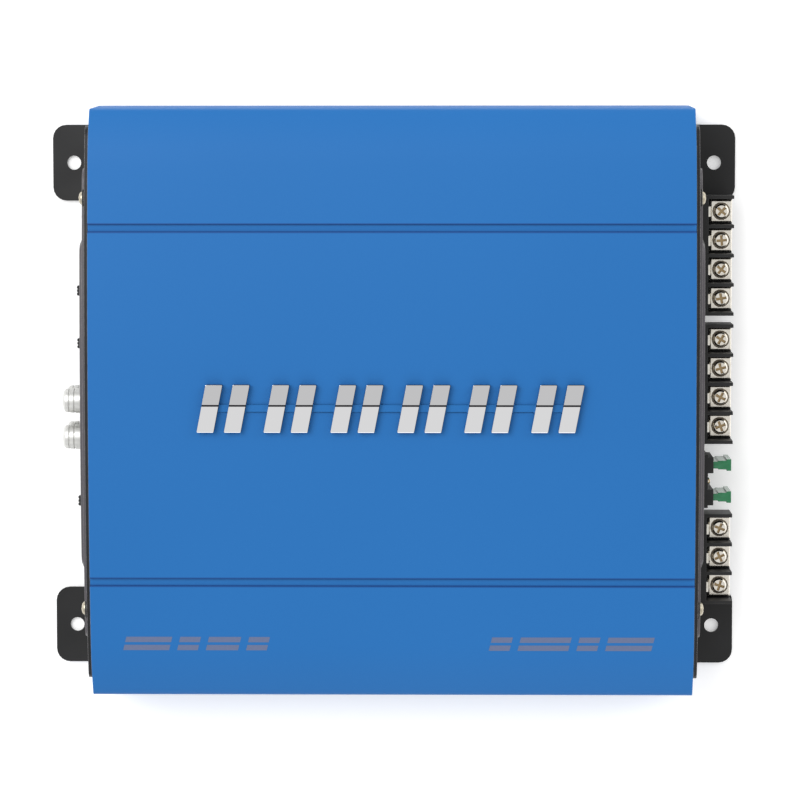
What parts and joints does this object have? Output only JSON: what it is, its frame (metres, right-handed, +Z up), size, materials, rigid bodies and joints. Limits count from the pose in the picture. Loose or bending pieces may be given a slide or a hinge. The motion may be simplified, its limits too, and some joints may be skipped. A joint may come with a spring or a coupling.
{
  "type": "car amplifier",
  "caption": "Flat car audio amplifier: blue ribless heatsink cover, black end panels with screw feet, screw terminals and blade fuses at one end, jacks and level controls at the other.",
  "frame": {"origin": "centre of the mounting plane, under the four feet", "axes": "+X towards the output end with terminals and fuses, +Y towards the end of the speaker terminals, +Z up from the mounting plane"},
  "size_m": [0.3038, 0.2584, 0.0588],
  "materials": {
    "blue_paint": "satin blue coating on extruded aluminium",
    "black_coat": "satin black coating on folded steel sheet",
    "nickel": "bright nickel plate on steel",
    "steel": "plain zinc-plated steel",
    "board_green": "green solder mask on glass-fibre board",
    "black_plastic": "moulded black plastic",
    "green_plastic": "translucent green plastic",
    "silver": "bright plate on brass",
    "red_lens": "clear red lens",
    "amber_winding": "enamelled copper winding",
    "black_sleeve": "shrunk plastic sleeve",
    "chrome": "mirror-bright chrome plate"
  },
  "bodies": {
    "amplifier": {"heatsink_cover": "blue_paint", "bottom_plate": "black_coat", "input_end_panel": "black_coat", "output_end_panel": "black_coat", "panel_screw_1": "nickel", "panel_screw_2": "nickel", "panel_screw_3": "nickel", "panel_screw_4": "nickel", "bottom_screw_1": "steel", "bottom_screw_2": "steel", "bottom_screw_3": "steel", "bottom_screw_4": "steel", "transistor_clamp_bar": "steel", "circuit_board": "board_green", "control_board": "board_green", "speaker_terminal_block_a": "black_plastic", "speaker_terminal_block_b": "black_plastic", "power_terminal_block": "black_plastic", "fuse_holder": "black_plastic", "rca_jack_block": "black_plastic", "rca_shell_lower_1": "silver", "rca_shell_lower_2": "silver", "rca_shell_upper_1": "silver", "rca_shell_upper_2": "silver", "power_lamp": "red_lens", "power_transformer": "amber_winding", "filter_capacitor_1": "black_sleeve", "filter_capacitor_2": "black_sleeve", "emblem": "chrome"},
    "wire_clamp_a1": {"wire_clamp_a1": "nickel"},
    "wire_clamp_a2": {"wire_clamp_a2": "nickel"},
    "wire_clamp_a3": {"wire_clamp_a3": "nickel"},
    "wire_clamp_a4": {"wire_clamp_a4": "nickel"},
    "wire_clamp_b1": {"wire_clamp_b1": "nickel"},
    "wire_clamp_b2": {"wire_clamp_b2": "nickel"},
    "wire_clamp_b3": {"wire_clamp_b3": "nickel"},
    "wire_clamp_b4": {"wire_clamp_b4": "nickel"},
    "wire_clamp_p1": {"wire_clamp_p1": "nickel"},
    "wire_clamp_p2": {"wire_clamp_p2": "nickel"},
    "wire_clamp_p3": {"wire_clamp_p3": "nickel"},
    "clamp_screw_a1": {"clamp_screw_a1": "nickel"},
    "clamp_screw_a2": {"clamp_screw_a2": "nickel"},
    "clamp_screw_a3": {"clamp_screw_a3": "nickel"},
    "clamp_screw_a4": {"clamp_screw_a4": "nickel"},
    "clamp_screw_b1": {"clamp_screw_b1": "nickel"},
    "clamp_screw_b2": {"clamp_screw_b2": "nickel"},
    "clamp_screw_b3": {"clamp_screw_b3": "nickel"},
    "clamp_screw_b4": {"clamp_screw_b4": "nickel"},
    "clamp_screw_p1": {"clamp_screw_p1": "nickel"},
    "clamp_screw_p2": {"clamp_screw_p2": "nickel"},
    "clamp_screw_p3": {"clamp_screw_p3": "nickel"},
    "switch_knob_1": {"switch_knob_1": "black_plastic"},
    "switch_knob_2": {"switch_knob_2": "black_plastic"},
    "switch_knob_3": {"switch_knob_3": "black_plastic"},
    "fuse_1": {"fuse_1": "green_plastic"},
    "fuse_2": {"fuse_2": "green_plastic"},
    "level_adjuster_front": {"level_adjuster_front": "black_plastic"},
    "crossover_adjuster_front": {"crossover_adjuster_front": "black_plastic"},
    "level_adjuster_rear": {"level_adjuster_rear": "black_plastic"},
    "crossover_adjuster_rear": {"crossover_adjuster_rear": "black_plastic"}
  },
  "joints": [
    {"name": "clamp_lift_a1", "type": "slide", "parent": "amplifier", "child": "wire_clamp_a1", "axis": [0, 0, 1], "range_m": [0, 0.003]},
    {"name": "screw_turn_a1", "type": "hinge", "parent": "wire_clamp_a1", "child": "clamp_screw_a1", "pos_m": [0.1445, 0.0828, 0.0171], "axis": [0, 0, 1], "range_deg": [0, 1800]},
    {"name": "clamp_lift_a2", "type": "slide", "parent": "amplifier", "child": "wire_clamp_a2", "axis": [0, 0, 1], "range_m": [0, 0.003]},
    {"name": "screw_turn_a2", "type": "hinge", "parent": "wire_clamp_a2", "child": "clamp_screw_a2", "pos_m": [0.1445, 0.07, 0.0171], "axis": [0, 0, 1], "range_deg": [0, 1800]},
    {"name": "clamp_lift_a3", "type": "slide", "parent": "amplifier", "child": "wire_clamp_a3", "axis": [0, 0, 1], "range_m": [0, 0.003]},
    {"name": "screw_turn_a3", "type": "hinge", "parent": "wire_clamp_a3", "child": "clamp_screw_a3", "pos_m": [0.1445, 0.0572, 0.0171], "axis": [0, 0, 1], "range_deg": [0, 1800]},
    {"name": "clamp_lift_a4", "type": "slide", "parent": "amplifier", "child": "wire_clamp_a4", "axis": [0, 0, 1], "range_m": [0, 0.003]},
    {"name": "screw_turn_a4", "type": "hinge", "parent": "wire_clamp_a4", "child": "clamp_screw_a4", "pos_m": [0.1445, 0.0444, 0.0171], "axis": [0, 0, 1], "range_deg": [0, 1800]},
    {"name": "clamp_lift_b1", "type": "slide", "parent": "amplifier", "child": "wire_clamp_b1", "axis": [0, 0, 1], "range_m": [0, 0.003]},
    {"name": "screw_turn_b1", "type": "hinge", "parent": "wire_clamp_b1", "child": "clamp_screw_b1", "pos_m": [0.1445, 0.0263, 0.0171], "axis": [0, 0, 1], "range_deg": [0, 1800]},
    {"name": "clamp_lift_b2", "type": "slide", "parent": "amplifier", "child": "wire_clamp_b2", "axis": [0, 0, 1], "range_m": [0, 0.003]},
    {"name": "screw_turn_b2", "type": "hinge", "parent": "wire_clamp_b2", "child": "clamp_screw_b2", "pos_m": [0.1445, 0.0135, 0.0171], "axis": [0, 0, 1], "range_deg": [0, 1800]},
    {"name": "clamp_lift_b3", "type": "slide", "parent": "amplifier", "child": "wire_clamp_b3", "axis": [0, 0, 1], "range_m": [0, 0.003]},
    {"name": "screw_turn_b3", "type": "hinge", "parent": "wire_clamp_b3", "child": "clamp_screw_b3", "pos_m": [0.1445, 0.0007, 0.0171], "axis": [0, 0, 1], "range_deg": [0, 1800]},
    {"name": "clamp_lift_b4", "type": "slide", "parent": "amplifier", "child": "wire_clamp_b4", "axis": [0, 0, 1], "range_m": [0, 0.003]},
    {"name": "screw_turn_b4", "type": "hinge", "parent": "wire_clamp_b4", "child": "clamp_screw_b4", "pos_m": [0.1445, -0.0121, 0.0171], "axis": [0, 0, 1], "range_deg": [0, 1800]},
    {"name": "clamp_lift_p1", "type": "slide", "parent": "amplifier", "child": "wire_clamp_p1", "axis": [0, 0, 1], "range_m": [0, 0.003]},
    {"name": "screw_turn_p1", "type": "hinge", "parent": "wire_clamp_p1", "child": "clamp_screw_p1", "pos_m": [0.1445, -0.0574, 0.0171], "axis": [0, 0, 1], "range_deg": [0, 1800]},
    {"name": "clamp_lift_p2", "type": "slide", "parent": "amplifier", "child": "wire_clamp_p2", "axis": [0, 0, 1], "range_m": [0, 0.003]},
    {"name": "screw_turn_p2", "type": "hinge", "parent": "wire_clamp_p2", "child": "clamp_screw_p2", "pos_m": [0.1445, -0.0702, 0.0171], "axis": [0, 0, 1], "range_deg": [0, 1800]},
    {"name": "clamp_lift_p3", "type": "slide", "parent": "amplifier", "child": "wire_clamp_p3", "axis": [0, 0, 1], "range_m": [0, 0.003]},
    {"name": "screw_turn_p3", "type": "hinge", "parent": "wire_clamp_p3", "child": "clamp_screw_p3", "pos_m": [0.1445, -0.083, 0.0171], "axis": [0, 0, 1], "range_deg": [0, 1800]},
    {"name": "switch_slide_1", "type": "slide", "parent": "amplifier", "child": "switch_knob_1", "axis": [0, 1, 0], "range_m": [-0.002, 0.002]},
    {"name": "switch_slide_2", "type": "slide", "parent": "amplifier", "child": "switch_knob_2", "axis": [0, 1, 0], "range_m": [-0.002, 0.002]},
    {"name": "switch_slide_3", "type": "slide", "parent": "amplifier", "child": "switch_knob_3", "axis": [0, 1, 0], "range_m": [-0.002, 0.002]},
    {"name": "level_adjuster_front_turn", "type": "hinge", "parent": "amplifier", "child": "level_adjuster_front", "pos_m": [-0.1328, 0.066, 0.038], "axis": [-1, 0, 0], "range_deg": [-150, 150]},
    {"name": "crossover_adjuster_front_turn", "type": "hinge", "parent": "amplifier", "child": "crossover_adjuster_front", "pos_m": [-0.1328, 0.0375, 0.038], "axis": [-1, 0, 0], "range_deg": [-150, 150]},
    {"name": "level_adjuster_rear_turn", "type": "hinge", "parent": "amplifier", "child": "level_adjuster_rear", "pos_m": [-0.1328, -0.029, 0.038], "axis": [-1, 0, 0], "range_deg": [-150, 150]},
    {"name": "crossover_adjuster_rear_turn", "type": "hinge", "parent": "amplifier", "child": "crossover_adjuster_rear", "pos_m": [-0.1328, -0.057, 0.038], "axis": [-1, 0, 0], "range_deg": [-150, 150]},
    {"name": "fuse_pull_1", "type": "slide", "parent": "amplifier", "child": "fuse_1", "axis": [1, 0, 0], "range_m": [0, 0.012]},
    {"name": "fuse_pull_2", "type": "slide", "parent": "amplifier", "child": "fuse_2", "axis": [1, 0, 0], "range_m": [0, 0.012]}
  ],
  "couplings": [
    {"joint": "screw_turn_a1", "follows": "clamp_lift_a1", "rad_per_m": 10472},
    {"joint": "screw_turn_a2", "follows": "clamp_lift_a2", "rad_per_m": 10472},
    {"joint": "screw_turn_a3", "follows": "clamp_lift_a3", "rad_per_m": 10472},
    {"joint": "screw_turn_a4", "follows": "clamp_lift_a4", "rad_per_m": 10472},
    {"joint": "screw_turn_b1", "follows": "clamp_lift_b1", "rad_per_m": 10472},
    {"joint": "screw_turn_b2", "follows": "clamp_lift_b2", "rad_per_m": 10472},
    {"joint": "screw_turn_b3", "follows": "clamp_lift_b3", "rad_per_m": 10472},
    {"joint": "screw_turn_b4", "follows": "clamp_lift_b4", "rad_per_m": 10472},
    {"joint": "screw_turn_p1", "follows": "clamp_lift_p1", "rad_per_m": 10472},
    {"joint": "screw_turn_p2", "follows": "clamp_lift_p2", "rad_per_m": 10472},
    {"joint": "screw_turn_p3", "follows": "clamp_lift_p3", "rad_per_m": 10472}
  ]
}
